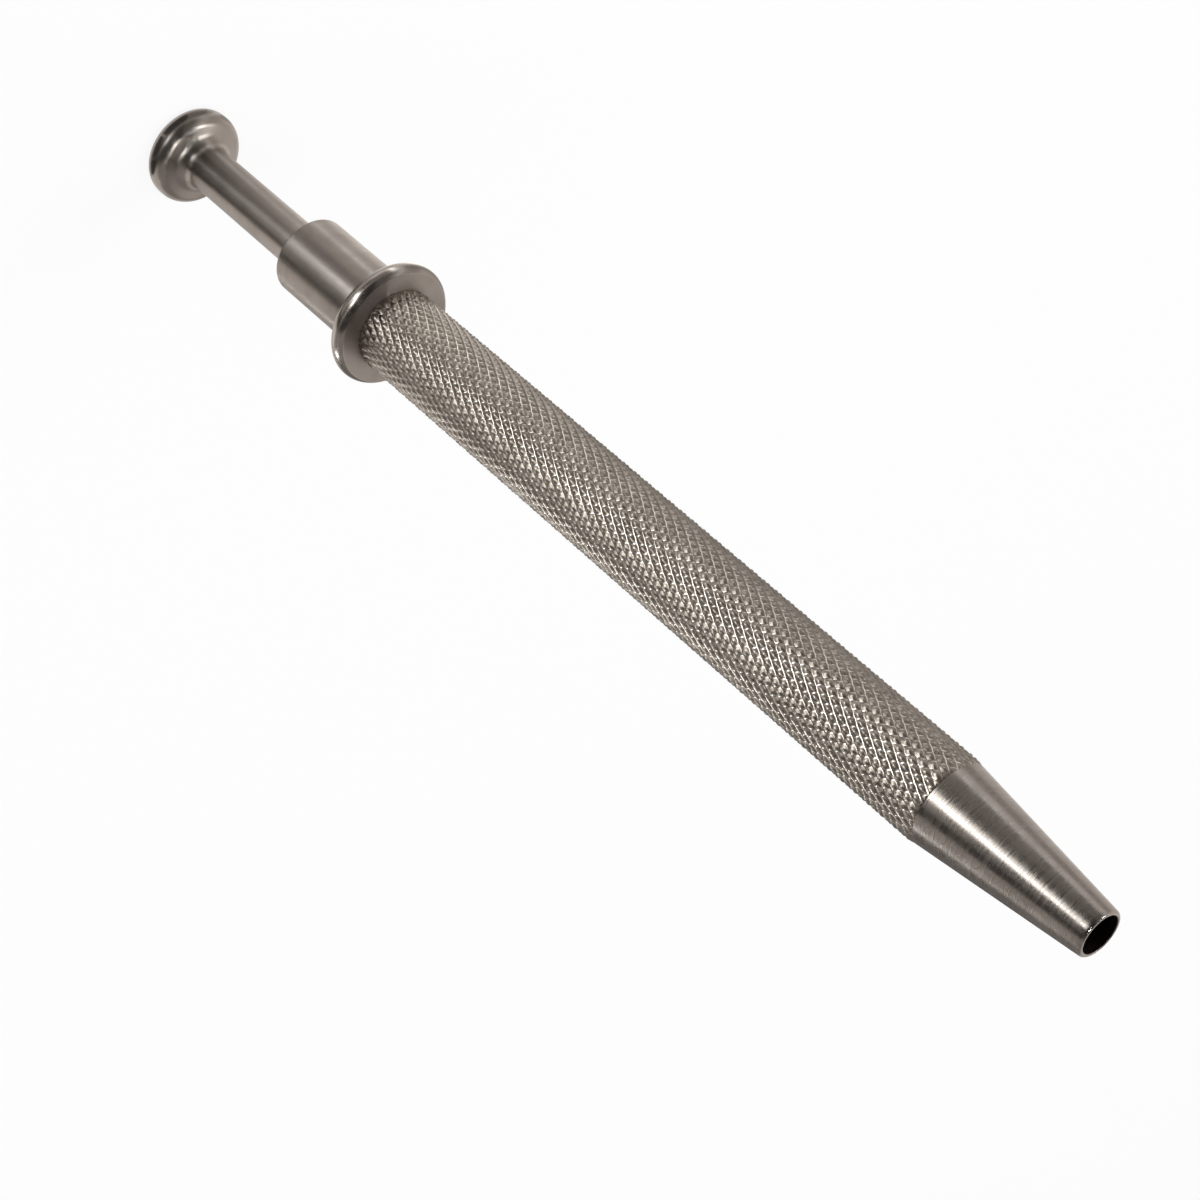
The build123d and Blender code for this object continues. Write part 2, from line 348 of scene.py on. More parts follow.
def ring_surface(name, rings, loop, way, sharp):
    """A skin over closed rings of points, shape (rings, around, 3). A ring of no size at either end
    becomes one point and a fan of triangles. With loop the last ring joins the first. way is each ring's
    v."""
    count, around = rings.shape[:2]
    poles = [] if loop else [i for i in (0, count - 1) if np.ptp(rings[i], axis=0).max() < 1e-9]
    full_rings = [i for i in range(count) if i not in poles]
    points = np.concatenate((rings[full_rings].reshape(-1, 3), rings[poles, 0]))
    number = np.empty((count, around), int)
    number[full_rings] = np.arange(len(full_rings) * around).reshape(-1, around)
    number[poles] = len(full_rings) * around + np.arange(len(poles))[:, None]
    v = np.append(way, way[-1] + np.linalg.norm(rings[-1, 0] - rings[0, 0]))
    steps = np.arange(count if loop else count - 1)
    fans = [i for i in steps if i in poles or i + 1 in poles]
    plain = np.setdiff1d(steps, fans).astype(int)
    quads, corners = ring_faces(number[plain], number[(plain + 1) % count], v[plain], v[plain + 1])
    faces, uv = [quads], [corners]
    for i in fans:
        quads, corners = ring_faces(number[[i]], number[[i + 1]], v[i], v[i + 1])
        pick = [0, 2, 3] if i in poles else [0, 1, 2]
        faces.append(quads[:, pick])
        uv.append(corners[:, pick])
    return lay_mesh(name, points, faces, uv, sharp)


def turned(name, shape, loop):
    """A turned piece: the outline (r, z) goes once round +Z, so a point is (r cos a, r sin a, z)."""
    rings = spun(shape, np.arange(AROUND) * 2 * np.pi / AROUND)
    return ring_surface(name, rings, loop, lengths_along(shape), TURNED_EDGE)


def groove_line(step, k):
    """Where line number step lies across one hand's grooves, in spacings. Each groove has five lines: its
    bottom, the two edges of the rounded bottom and the two edges of the crest."""
    groove = (step + GROOVE_LINES // 2) // GROOVE_LINES
    aside = step - GROOVE_LINES * groove
    return groove + np.sign(aside) * np.array((0.0, k.bottom, k.crest))[np.abs(aside)]


def knurled_height(first, second, k):
    """How deep the knurl is cut, from 0 on a crest to 1 at the bottom of a groove, and how far the wheels
    rubbed it bright, from 0 to 1 along the bottoms. Each hand's grooves are a straight V between narrow
    crests, and the deeper of the two hands is what is left."""
    aside = [np.abs(hand - np.round(hand)) for hand in (first, second)]
    depth = [np.clip((k.crest - off) / k.crest, 0.0, 1.0) for off in aside]
    depth[1] = depth[1] * k.second_hand
    rubbed = np.clip(1 - np.where(depth[0] >= depth[1], *aside) / k.bottom, 0.0, 1.0)
    return np.maximum(*depth), rubbed


def wandering(height, turn):
    """How the knurling wheels' pressure wanders along and round the barrel: two sines over lengths of
    5.3, 9 and 1.9 mm, as sin(h / 5.3) sin(2 a + h / 9) + 0.6 sin(h / 1.9 + 3 a)."""
    slow = np.sin(height / (5.3 * MM)) * np.sin(2 * turn + height / (9.0 * MM))
    return slow + 0.6 * np.sin(height / (1.9 * MM) + 3 * turn)


def wire(name, path, tangents, across, radius, around):
    """A round wire with round ends along a curve: each ring is the point + radius * (across cos a + side
    sin a), where across, one way or one for each point, is square to the curve, and side is square to
    both. Each end's rings shrink as a half ball."""
    cap = np.radians(np.linspace(90.0, 0.0, 7))[:-1]
    reach, size = radius * np.sin(cap)[:, None], radius * np.cos(cap)
    centres = np.concatenate((path[0] - tangents[0] * reach, path, path[-1] + tangents[-1] * reach[::-1]))
    sizes = np.concatenate((size, np.full(len(path), radius), size[::-1]))
    sizes[[0, -1]] = 0.0
    nearest = np.pad(np.arange(len(path)), len(cap), "edge")
    ways, across = tangents[nearest], np.broadcast_to(across, tangents.shape)[nearest]
    side = np.cross(ways, across)
    a = (np.arange(around) * 2 * np.pi / around)[:, None]
    spokes = np.cos(a) * across[:, None] + np.sin(a) * side[:, None]
    rings = centres[:, None] + sizes[:, None, None] * spokes
    return ring_surface(name, rings[:, ::-1], False, lengths_along(centres), WIRE_EDGE)


# Finishes


class Nodes:
    """A node tree that is being built."""

    def __init__(self, tree):
        self.tree = tree

    def add(self, kind, feeds=(), **settings):
        """Puts in a node, sets its settings and feeds its sockets."""
        node = self.tree.nodes.new(f"ShaderNode{kind}")
        for setting, value in settings.items():
            setattr(node, setting, value)
        for socket, value in dict(feeds).items():
            self.feed(node.inputs[socket], value)
        return node

    def feed(self, socket, value):
        """Links a socket to another node's output, or sets its value."""
        if isinstance(value, bpy.types.NodeSocket):
            self.tree.links.new(value, socket)
        else:
            socket.default_value = value

    def sum(self, operation, *values):
        """One maths step on numbers or outputs."""
        return self.add("Math", dict(enumerate(values)), operation=operation).outputs[0]

    def mixed(self, factor, first, second):
        """Two shaders mixed, the second as far as factor."""
        return self.add("MixShader", {0: factor, 1: first, 2: second}).outputs[0]

    def white_where_seen(self, whiteness):
        """How far a surface is plain white: whiteness for camera, glossy and transmission rays, 0 for the
        rest."""
        path = self.add("LightPath").outputs
        seen = self.sum("MAXIMUM", path["Is Camera Ray"], path["Is Glossy Ray"])
        return self.sum("MULTIPLY", self.sum("MAXIMUM", seen, path["Is Transmission Ray"]), whiteness)


class Finish(Nodes):
    """A material with a Principled shader, some of whose sockets are constants."""

    def __init__(self, name, **constants):
        self.material = bpy.data.materials.new(name)
        self.material.use_nodes = True
        super().__init__(self.material.node_tree)
        self.shader = self.tree.nodes["Principled BSDF"]
        for socket, value in constants.items():
            self.shader.inputs[socket.replace("_", " ")].default_value = value

    def blend(self, factor, first, second):
        """Two colours mixed, the second as far as factor."""
        node = self.add("Mix", {0: factor, 6: first, 7: second}, data_type="RGBA")
        return node.outputs[2]

    def spread(self, value, before, after):
        """A value moved from one range to another, and held inside it."""
        return self.add("MapRange", dict(enumerate((value, *before, *after)))).outputs[0]

    def noise(self, scale, detail, roughness, stretch=(1.0, 1.0, 1.0)):
        """Noise over the piece's own Object coordinates. stretch is the scale along each axis."""
        place = self.add("TexCoord").outputs["Object"]
        moved = self.add("Mapping", {"Vector": place, "Scale": stretch}).outputs[0]
        feeds = {"Vector": moved, "Scale": scale, "Detail": detail, "Roughness": roughness}
        return self.add("TexNoise", feeds).outputs["Fac"]

    def rings(self, scale):
        """Noise along the outline only, so it runs round the piece as tool marks do."""
        corner = self.add("UVMap", uv_map=UV_NAME).outputs[0]
        along = self.add("SeparateXYZ", {0: corner}).outputs[1]
        feeds = {"W": along, "Scale": scale, "Detail": 2.0}
        return self.add("TexNoise", feeds, noise_dimensions="1D").outputs["Fac"]

    def bumps(self, *layers):
        """Bump nodes in a row, each a pattern from 0 to 1 and its height in metres."""
        normal = None
        for pattern, height in layers:
            feeds = {"Height": pattern, "Distance": height, "Strength": 1.0}
            if normal is not None:
                feeds["Normal"] = normal
            normal = self.add("Bump", feeds).outputs[0]
        self.feed(self.shader.inputs["Normal"], normal)

    def grain_round(self):
        """The grain runs round the piece, so highlights draw out along the outline."""
        tangent = self.add("Tangent", direction_type="UV_MAP", uv_map=UV_NAME).outputs[0]
        self.feed(self.shader.inputs["Tangent"], tangent)


def rgba(colour):
    """A colour as a socket takes it."""
    return (*colour, 1.0)


def satin_turned(name, colours, roughness, grain, rings, bright, polish, bore=0.0, streaks=(0.1, 0.0)):
    """Turned satin nickel with tool marks round the piece, faint stains and a little wear.

    grain is how far highlights draw out. rings is the tool marks' scale and height, and streaks how far
    short marks round the piece change the roughness, and their height. bright names a measure, height or
    reach from the axis, and the two values between which satin turns to bright, whose roughness is
    polish. Inside the radius bore the colour is painted dark as shade, and the roughness is 0.6."""
    (ring_scale, ring_height), (streak_share, streak_height) = rings, streaks
    f = Finish(name, Metallic=1.0, Anisotropic=grain, Anisotropic_Rotation=0.25)
    place = f.add("SeparateXYZ", {0: f.add("TexCoord").outputs["Object"]}).outputs
    square = f.sum("ADD", f.sum("POWER", place[0], 2.0), f.sum("POWER", place[1], 2.0))
    measure = {"height": place[2], "reach": f.sum("SQRT", square)}
    kind, satin_at, bright_at = bright
    satin = f.spread(measure[kind], (satin_at, bright_at), (1.0, 0.0))

    stain = f.spread(f.noise(420.0, 5.0, 0.6), (0.42, 0.75), (0.0, 0.55))
    colour = f.blend(stain, rgba(colours.nickel), rgba(colours.nickel_dull))
    streak = f.noise(4200.0, 2.0, 0.5, (0.08, 0.08, 1.0))
    uneven = f.spread(streak, (0.3, 0.7), (1 - streak_share, 1 + streak_share))
    uneven = f.sum("MULTIPLY_ADD", satin, f.sum("SUBTRACT", uneven, 1.0), 1.0)
    level = f.spread(satin, (0.0, 1.0), (polish, roughness))
    marks = f.sum("MULTIPLY", f.rings(ring_scale), satin)
    # Painted shade: inside the bore the colour fades to the dark bore colour
    if bore:
        inside = f.spread(measure["reach"], (bore + 0.002 * MM, bore + 0.05 * MM), (1.0, 0.0))
        colour = f.blend(inside, colour, rgba(colours.bore))
        level = f.spread(inside, (0.0, 1.0), (level, 0.6))

    f.feed(f.shader.inputs["Anisotropic"], f.sum("MULTIPLY", satin, grain))
    f.feed(f.shader.inputs["Base Color"], colour)
    f.feed(f.shader.inputs["Roughness"], f.sum("MULTIPLY", uneven, level))
    f.bumps((marks, ring_height), (streak, streak_height))
    f.grain_round()
    return f.material


def knurled_nickel(colours):
    """Nickel over the knurl: groove bottoms burnished bright by the knurling wheels, satin crests with tips
    that hands keep bright, and grime with painted shade on the flanks between."""
    f = Finish("knurled_nickel", Metallic=1.0)
    cut = f.add("Attribute", attribute_name="cut").outputs["Fac"]
    rubbed = f.add("Attribute", attribute_name="rubbed").outputs["Fac"]
    stain = f.noise(700.0, 5.0, 0.62)
    below_tips, off_bottom = f.spread(cut, (0.1, 0.4), (0.0, 1.0)), f.spread(rubbed, (0.0, 0.6), (1.0, 0.0))
    # Grime and painted shade: the flanks, between crest tips and burnished bottoms, take the dark colour,
    # varied by the stain
    flank = f.sum("MULTIPLY", below_tips, off_bottom)
    grime_and_shade = f.sum("MULTIPLY", flank, f.spread(stain, (0.3, 0.7), (0.1, 0.6)))
    worn = f.spread(stain, (0.4, 0.72), (0.0, 0.6))
    colour = f.blend(worn, rgba(colours.knurled), rgba(colours.knurled_dull))
    colour = f.blend(f.spread(rubbed, (0.2, 0.8), (0.0, 1.0)), colour, rgba(colours.burnished))
    colour = f.blend(f.spread(cut, (0.0, 0.12), (0.9, 0.0)), colour, rgba(colours.handled))
    f.feed(f.shader.inputs["Base Color"], f.blend(grime_and_shade, colour, rgba(colours.grime_and_shade)))
    f.feed(f.shader.inputs["Roughness"], f.spread(rubbed, (0.0, 1.0), (0.38, 0.19)))
    f.bumps((f.noise(4200.0, 3.0, 0.6), 0.006 * MM))
    return f.material


def plain_metal(name, colour, roughness, stretch=(1.0, 1.0, 1.0)):
    """Drawn or machined metal of an inner part: fine grain and faint variation of colour."""
    f = Finish(name, Metallic=1.0)
    grain = f.noise(2600.0, 3.0, 0.55, stretch)
    cloud = f.spread(f.noise(500.0, 4.0, 0.5), (0.35, 0.7), (0.0, 0.8))
    darker = tuple(c * 0.72 for c in colour)
    gloss = f.spread(grain, (0.3, 0.7), (roughness * 0.85, roughness * 1.2))
    f.feed(f.shader.inputs["Base Color"], f.blend(cloud, rgba(colour), rgba(darker)))
    f.feed(f.shader.inputs["Roughness"], gloss)
    f.bumps((grain, 0.004 * MM))
    return f.material


def wear(piece, material, body, slot, *nodes):
    """Gives a piece its material and body, and hides the CAD nodes that it stands for. slot is not used."""
    piece.data.materials.append(material)
    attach(piece, body)
    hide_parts(*nodes)


# Operators


class PICKUP_OT_button_and_stem(bpy.types.Operator):
    """Turn the push button and its flared stem."""

    bl_idname = "pickup.button_and_stem"
    bl_label = "Button and stem"

    def execute(self, context):
        """The domed side turns by the brow turn t, a straight slope goes on from it, and the flare turns
        back by t: the slope's length is what lies between their ends, (r_dome - r_flare) / sin t."""
        s = context.scene.pickup_plunger
        top = PLUNGER_HIGH.z
        shoulder, bottom = top - s.stud_length, top - s.socket_depth
        t = s.brow_turn
        reach = s.button_radius - s.stem_radius - (s.brow_round + s.stem_flare) * (1 - math.cos(t))
        root = s.brow_height + (s.brow_round + s.stem_flare) * math.sin(t) + reach / math.tan(t)
        shape = outline(
            run((0, 0), (s.button_radius - s.rim_round, 0), 14),
            arc((s.button_radius - s.rim_round, s.rim_round), s.rim_round, -90, 0, 14),
            arc((s.button_radius - s.brow_round, s.brow_height), s.brow_round, 0, math.degrees(t), 40),
            arc((s.stem_radius + s.stem_flare, root), s.stem_flare, 180 + math.degrees(t), 180, 32),
            run((s.stem_radius, root), (s.stem_radius, shoulder), 40),
            run((s.stud_radius, shoulder), (s.stud_radius, top)),
            run((s.socket_radius, top), (s.socket_radius, bottom)),
            run((0, bottom), (0, bottom)),
        )
        piece = turned("button_and_stem", shape, False)
        finish = satin_turned(
            "polished_nickel", context.scene.pickup_finishes, roughness=0.38, grain=0.6,
            rings=(9000.0, 0.0012 * MM), bright=("height", root + 1.8 * MM, root - 0.4 * MM), polish=0.3,
        )
        wear(piece, finish, "plunger", "plunger", "plunger")
        return {"FINISHED"}


class PICKUP_OT_collar(bpy.types.Operator):
    """Turn the collar with its crowned finger flange."""

    bl_idname = "pickup.collar"
    bl_label = "Collar"

    def execute(self, context):
        """The flange's rim is a round through its two edges and its middle: with half the thickness h and
        the crown c, its radius is (h^2 + c^2) / (2 c)."""
        s = context.scene.pickup_collar
        rear, seat, front = COLLAR_LOW.z, BARREL_LOW.z, COLLAR_HIGH.z
        half = s.flange_thickness / 2
        back = seat - s.flange_thickness
        rim = s.flange_radius - s.flange_crown
        bulge = (half**2 + s.flange_crown**2) / (2 * s.flange_crown)
        tilt = math.degrees(math.asin(half / bulge))
        shape = outline(
            run((s.bore_radius, rear), (s.sleeve_radius - s.sleeve_edge, rear), 8),
            arc((s.sleeve_radius - s.sleeve_edge, rear + s.sleeve_edge), s.sleeve_edge, -90, 0, 10),
            run((s.sleeve_radius, rear + s.sleeve_edge), (s.sleeve_radius, back), 30),
            run((s.sleeve_radius, back), (rim, back), 5),
            arc((s.flange_radius - bulge, seat - half), bulge, -tilt, tilt, 24),
            run((rim, seat), (s.spigot_radius, seat), 8),
            run((s.spigot_radius, seat), (s.spigot_radius, front - s.spigot_edge)),
            run((s.spigot_radius - s.spigot_edge, front), (s.bore_radius, front)),
        )
        piece = turned("collar_with_flange", shape, True)
        finish = satin_turned(
            "satin_nickel", context.scene.pickup_finishes, roughness=0.4, grain=0.8,
            rings=(8000.0, 0.002 * MM), bright=("reach", rim - 0.15 * MM, rim + 0.05 * MM), polish=0.22,
        )
        wear(piece, finish, "housing", "collar", "collar")
        return {"FINISHED"}


class PICKUP_OT_barrel(bpy.types.Operator):
    """Cut the diamond knurl and bore the barrel."""

    bl_idname = "pickup.barrel"
    bl_label = "Knurled barrel"

    def execute(self, context):
        """Every point lies where a line of one hand's grooves crosses a line of the other hand's: with
        the two lines a and b in spacings, its angle is (a + b) / 2 spacings round and its height goes
        with b - a."""
        k = context.scene.pickup_knurl
        low, high, crest = BARREL_LOW.z, BARREL_HIGH.z, BARREL_HIGH.x
        columns, rows = GROOVE_LINES * k.starts, k.rows
        j, i = np.meshgrid(np.arange(rows + 1), np.arange(columns + 1), indexing="ij")
        first, second = groove_line(i, k), groove_line(i + j, k)
        spots = np.stack(
            ((first + second) / (2 * k.starts), (second - first) * GROOVE_LINES * (high - low) / rows), 2
        )
        turn, height = 2 * np.pi * spots[:, :-1, 0], low + spots[:, :-1, 1]
        cut, rubbed = knurled_height(first[:, :-1], second[:, :-1], k)
        radius = crest - k.depth * cut * (1 - k.unevenness * (0.5 + 0.5 * wandering(height, turn)))
        for step, reach, way in (
            (k.front_step, k.front_run, high - height),
            (k.rear_step, k.rear_step, height - low),
        ):
            radius = np.minimum(radius, crest - step * np.clip(1 - way / reach, 0, 1))
        knurl = np.stack((radius * np.cos(turn), radius * np.sin(turn), height), 2)
        front_stop, rear_stop = high - k.socket_depth, low + k.socket_depth
        inside = outline(
            run((k.socket_radius, high), (k.socket_radius, front_stop)),
            run((k.front_bore_radius, front_stop), (k.front_bore_radius, k.bush_seat)),
            run((k.rear_bore_radius, k.bush_seat), (k.rear_bore_radius, rear_stop)),
            run((k.socket_radius, rear_stop), (k.socket_radius, low)),
        )
        bore = spun(inside, 2 * np.pi * np.arange(columns) / columns)

        number = np.arange((rows + 1) * columns).reshape(rows + 1, columns)
        beside = np.roll(number, -1, 1)
        here, there = spots[:, :-1], spots[:, 1:]
        faces, uv = (
            [
                np.stack((at[:-1], by[:-1], at[1:]), 2).reshape(shape),
                np.stack((by[:-1], by[1:], at[1:]), 2).reshape(shape),
            ]
            for at, by, shape in ((number, beside, (-1, 3)), (here, there, (-1, 3, 2)))
        )
        inner = number.size + np.arange(len(inside) * columns).reshape(-1, columns)
        front_ring = number[-1][(np.arange(columns) - rows // 2) % columns]
        chain = np.array((front_ring, *inner, number[0]))
        way = high - low + 2 * MM * np.arange(len(chain))
        quads, corners = ring_faces(chain[:-1], chain[1:], way[:-1], way[1:])
        points = np.concatenate((knurl.reshape(-1, 3), bore.reshape(-1, 3)))
        piece = lay_mesh("knurled_barrel", points, [*faces, quads], [*uv, corners], KNURL_EDGE)
        # The bore is finished as the grooves' flanks are, with their grime and painted shade
        for kind, values, in_bore in (("cut", cut, 0.6), ("rubbed", rubbed, 0.0)):
            whole_piece = np.concatenate((values.ravel(), np.full(inner.size, in_bore))).astype(np.float32)
            piece.data.attributes.new(kind, "FLOAT", "POINT").data.foreach_set("value", whole_piece)
        wear(piece, knurled_nickel(context.scene.pickup_finishes), "housing", "barrel", "barrel")
        return {"FINISHED"}


class PICKUP_OT_nose(bpy.types.Operator):
    """Turn the long tapered nose."""

    bl_idname = "pickup.nose"
    bl_label = "Nose"

    def execute(self, context):
        """The lip's two rounds touch the taper and the end face, as a fillet does."""
        s = context.scene.pickup_nose
        low, seat = NOSE_LOW.z, BARREL_HIGH.z
        slope = math.atan2(s.base_radius - s.tip_radius, MOUTH - seat)
        inset = s.lip_round * ((1 + math.sin(slope)) / math.cos(slope) - math.tan(slope))
        centre = np.array((s.tip_radius - inset, MOUTH - s.lip_round))
        touch = centre + s.lip_round * np.array((math.cos(slope), math.sin(slope)))
        inner = s.lip_inner_round
        shape = outline(
            run((s.mouth_radius, low), (s.spigot_radius - s.spigot_edge, low)),
            run((s.spigot_radius, low + s.spigot_edge), (s.spigot_radius, seat)),
            run((s.spigot_radius, seat), (s.base_radius, seat), 3),
            run((s.base_radius, seat), touch, 50),
            arc(centre, s.lip_round, math.degrees(slope), 90, 12),
            arc((s.mouth_radius + inner, MOUTH - inner), inner, 90, 180, 8),
            run((s.mouth_radius, MOUTH - inner), (s.mouth_radius, low), 24),
        )
        piece = turned("tapered_nose", shape[:-1], True)
        # The mouth's bore is painted dark as shade
        finish = satin_turned(
            "turned_nickel", context.scene.pickup_finishes, roughness=0.28, grain=0.5,
            rings=(5200.0, 0.006 * MM), bright=("height", MOUTH - 1.5 * s.lip_round, MOUTH - s.lip_round),
            polish=0.22, bore=s.mouth_radius, streaks=(0.25, 0.001 * MM),
        )
        wear(piece, finish, "housing", "nose", "nose")
        return {"FINISHED"}


class PICKUP_OT_prongs(bpy.types.Operator):
    """Bend the four sprung wires and their hooked tips."""

    bl_idname = "pickup.prongs"
    bl_label = "Prongs"

    def execute(self, context):
        """Each wire's centre line is a shallow round through its root, a point near its waist and its
        hook's start, then the hook's bend of one radius and a short straight to the tip. The round's
        middle and end lie on the bow r = root - 4 (root - waist) h (reach - h) / reach^2, with h the
        height over the root."""
        s = context.scene.pickup_prongs
        finish = plain_metal("spring_wire", context.scene.pickup_finishes.spring_steel, 0.25)
        reach = MOUTH - s.pivot_height
        rate = 4 * (s.root_radius - s.waist_radius) / reach**2
        rise = reach - s.tip_setback - s.bend_radius - s.wire_radius
        h = np.linspace(0.0, rise, 3)
        a, b, c = np.column_stack((s.root_radius - rate * h * (reach - h), s.pivot_height + h))
        centre = np.linalg.solve(2 * np.array((b - a, c - a)), np.array((b @ b - a @ a, c @ c - a @ a)))
        size = np.linalg.norm(a - centre)
        first, last = (math.atan2(*(p - centre)[::-1]) for p in (a, c))
        sweep = (last - first + math.pi) % (2 * math.pi) - math.pi
        angles = first + sweep * np.linspace(0.0, 1.0, 60)
        bow = centre + size * np.column_stack((np.cos(angles), np.sin(angles)))
        bow_way = np.sign(sweep) * np.column_stack((-np.sin(angles), np.cos(angles)))
        turned_in, ahead = np.array((-bow_way[-1][1], bow_way[-1][0])), math.atan2(*bow_way[-1][::-1])
        heading = ahead + np.linspace(0.0, s.hook_turn, 24)
        hook_way = np.column_stack((np.cos(heading), np.sin(heading)))
        hook = bow[-1] + s.bend_radius * (turned_in + np.column_stack((np.sin(heading), -np.cos(heading))))
        straight = (hook[-1][0] - s.tip_radius) / -hook_way[-1][0]
        tip = hook[-1] + straight * hook_way[-1] * np.linspace(0.25, 1.0, 4)[:, None]
        flat = np.concatenate((bow, hook[1:], tip))
        ways = np.concatenate((bow_way, hook_way[1:], np.repeat(hook_way[-1:], len(tip), 0)))
        for number in range(4):
            turn = math.pi / 2 * number
            out = np.array((math.cos(turn), math.sin(turn), 0.0))
            path, tangents = (lines[:, :1] * out + lines[:, 1:] * UP for lines in (flat, ways))
            name = f"prong_{number + 1}"
            piece = wire(f"hooked_wire_{number + 1}", path, tangents, np.cross(UP, out), s.wire_radius, 20)
            wear(piece, finish, name, "prong", name)
        return {"FINISHED"}


class PICKUP_OT_return_spring(bpy.types.Operator):
    """Wind the return spring, which the button presses together."""

    bl_idname = "pickup.return_spring"
    bl_label = "Return spring"

    def execute(self, context):
        """The centre line is a helix from the nut to the bush: (r cos t, r sin t, start + rise t)."""
        s = context.scene.pickup_spring
        low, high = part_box("return_spring")
        radius = high.x - s.wire_radius
        t = np.linspace(0.0, 2 * np.pi * s.turns, 36 * s.turns + 1)
        rise = (high.z - low.z - 2 * s.wire_radius) / t[-1]
        out = np.column_stack((np.cos(t), np.sin(t), 0 * t))
        path = radius * out + UP * (low.z + s.wire_radius + rise * t)[:, None]
        tangents = (radius * np.cross(UP, out) + rise * UP) / math.hypot(radius, rise)
        piece = wire("coiled_spring", path, tangents, out, s.wire_radius, 16)
        finish = plain_metal("coiled_wire", context.scene.pickup_finishes.spring_steel, 0.3)
        wear(piece, finish, "housing", "return_spring", "return_spring")
        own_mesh(piece)
        return {"FINISHED"}


class PICKUP_OT_inner_parts(bpy.types.Operator):
    """Give the parts inside the barrel their metals."""

    bl_idname = "pickup.inner_parts"
    bl_label = "Inner parts"

    def execute(self, context):
        c = context.scene.pickup_finishes
        brass = plain_metal("turned_brass", c.brass, 0.32)
        steel = plain_metal("ground_steel", c.rod_steel, 0.28, (1.0, 1.0, 0.05))
        nodes = {"guide_bush": brass, "prong_carrier": brass, "push_rod": steel, "stop_nut": steel}
        for name, material in nodes.items():
            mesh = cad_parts[name].data
            mesh.materials.clear()
            mesh.materials.append(material)
        return {"FINISHED"}


def eased(value):
    """Eases a share from 0 to 1: 3 x^2 - 2 x^3, with x held between 0 and 1."""
    x = np.clip(value, 0.0, 1.0)
    return x * x * (3 - 2 * x)


def towards(azimuth, elevation):
    """Directions away from the tool, (-sin a cos e, -cos a cos e, sin e): azimuth 0 is towards the
    camera's side and 90 towards -X."""
    a, e = np.radians(azimuth), np.radians(elevation)
    return np.stack((-np.sin(a) * np.cos(e), -np.cos(a) * np.cos(e), np.sin(e)), -1)


def sheet(name, points):
    """An object over a grid of points, shape (rows, columns, 3)."""
    number = np.arange(points[..., 0].size).reshape(points.shape[:2])
    faces = np.stack((number[:-1, :-1], number[:-1, 1:], number[1:, 1:], number[1:, :-1]), 2).reshape(-1, 4)
    mesh = bpy.data.meshes.new(name)
    mesh.from_pydata(points.reshape(-1, 3), [], faces.tolist())
    thing = bpy.data.objects.new(name, mesh)
    bpy.context.scene.collection.objects.link(thing)
    return thing


def reflected_sheet(name, points, glow, cover):
    """A card that only the metal's reflections see: it lights nothing else and throws no shadow. glow is
    its light at each point, and cover how far it hides what lies behind it."""
    thing = sheet(name, points)
    shown = np.concatenate((glow, cover[..., None]), 2).astype(np.float32)
    thing.data.attributes.new("glow", "FLOAT_COLOR", "POINT").data.foreach_set("color", shown.ravel())
    material = bpy.data.materials.new(name)
    material.use_nodes = True
    material.node_tree.nodes.clear()
    n = Nodes(material.node_tree)
    read = n.add("Attribute", attribute_name="glow").outputs
    lit = n.add("Emission", {"Color": read["Color"]}).outputs[0]
    clear = n.add("BsdfTransparent").outputs[0]
    n.add("OutputMaterial", {"Surface": n.mixed(read["Alpha"], clear, lit)})
    thing.data.materials.append(material)
    thing.visible_camera = thing.visible_diffuse = thing.visible_shadow = False
    thing.visible_transmission = thing.visible_volume_scatter = False


def surround(tints):
    """One card all round the tool: it starts beside the button, runs out along the floor, turns up
    through a quarter round and rises. It is white but for PANELS, and a later panel lies over an earlier
    one."""
    near, lift, bend, wall, top = 0.0047, 0.0005, 0.08, 0.42, 0.72
    shape = outline(
        run((near, lift), (wall - bend, lift), 120),
        arc((wall - bend, lift + bend), bend, -90, 0, 24),
        run((wall, lift + bend), (wall, top), 8),
    )
    way = near + lengths_along(shape)
    azimuth = np.arange(-180.0, 181.0)
    points = spun(shape, np.radians(-90.0 - azimuth))
    glow = np.ones(points.shape)
    for middle, width, soft, tint_name, levels in PANELS:
        off = np.abs((azimuth - middle + 180) % 360 - 180)
        cover = eased((width / 2 + soft / 2 - off) / soft)[None, :, None]
        glow += cover * (np.interp(way, MIRRORED_AT, levels)[:, None, None] * tints[tint_name] - glow)
    reflected_sheet("surround", points, glow, np.ones(glow.shape[:2]))


def canopy(name, start, end, low, high, level, colour, soft):
    """A card over part of a ball round the tool's middle, from one azimuth and elevation to another. Its
    edges fade over the angle soft."""
    across, up = np.linspace(start, end, 37), np.linspace(low, high, 25)
    points = CANOPY_REACH * towards(*np.meshgrid(across, up)) + MIDDLE
    sides = eased(np.minimum(across - start, end - across) / soft)
    cover = sides * eased(np.minimum(up - low, high - up) / soft)[:, None]
    reflected_sheet(name, points, level * np.ones(points.shape) * colour, cover)


def strip_light(name, azimuth, elevation, lean, width, height, level, colour):
    """A bright strip over part of a smaller ball: width across and height along the azimuth lean, in
    degrees. With out towards its middle, up along it and side across, a point is out cos a cos e + side
    sin a cos e + up sin e."""
    out, up = towards((azimuth, lean), (elevation, 0.0))
    up -= (up @ out) * out
    up /= np.linalg.norm(up)
    side = np.cross(up, out)
    across, along = np.linspace(-width / 2, width / 2, 9), np.linspace(-height / 2, height / 2, 17)
    a, e = (grid[..., None] for grid in np.meshgrid(np.radians(across), np.radians(along)))
    ways = np.cos(a) * np.cos(e) * out + np.sin(a) * np.cos(e) * side + np.sin(e) * up
    points = STRIP_REACH * ways + MIDDLE
    soft = width / 4
    cover = eased((width / 2 - abs(across)) / soft) * eased((height / 2 - abs(along)) / soft)[:, None]
    reflected_sheet(name, points, level * np.ones(points.shape) * colour, cover)


